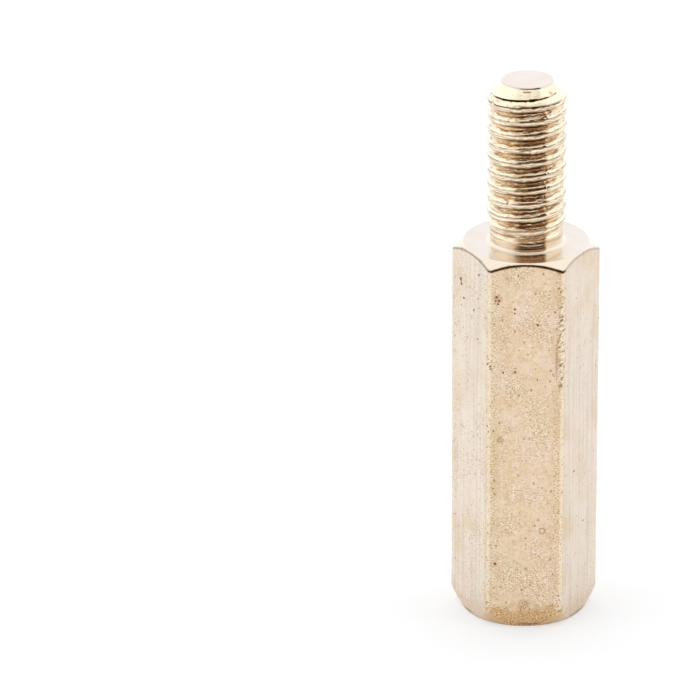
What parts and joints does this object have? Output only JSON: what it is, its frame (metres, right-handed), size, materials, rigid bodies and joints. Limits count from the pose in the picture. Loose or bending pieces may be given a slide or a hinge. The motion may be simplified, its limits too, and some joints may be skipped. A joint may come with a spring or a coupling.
{
  "type": "hex standoff",
  "caption": "Male-female hex spacer turned from brass bar: a threaded stud on top and a tapped blind socket in the base hold a board clear of its mounting face.",
  "frame": {"origin": "centre of the flat end face round the socket, which the standoff stands on", "axes": "+Z along the axis from the socket to the stud, -Y and +Y square to two opposite flats, +X through a corner"},
  "size_m": [0.0046, 0.004, 0.0176],
  "materials": {
    "brass": "bright drawn flats and turned ends, with fine drawing lines, small pits and light handling marks"
  },
  "bodies": {
    "root": {"hex_standoff": "brass"}
  },
  "joints": []
}
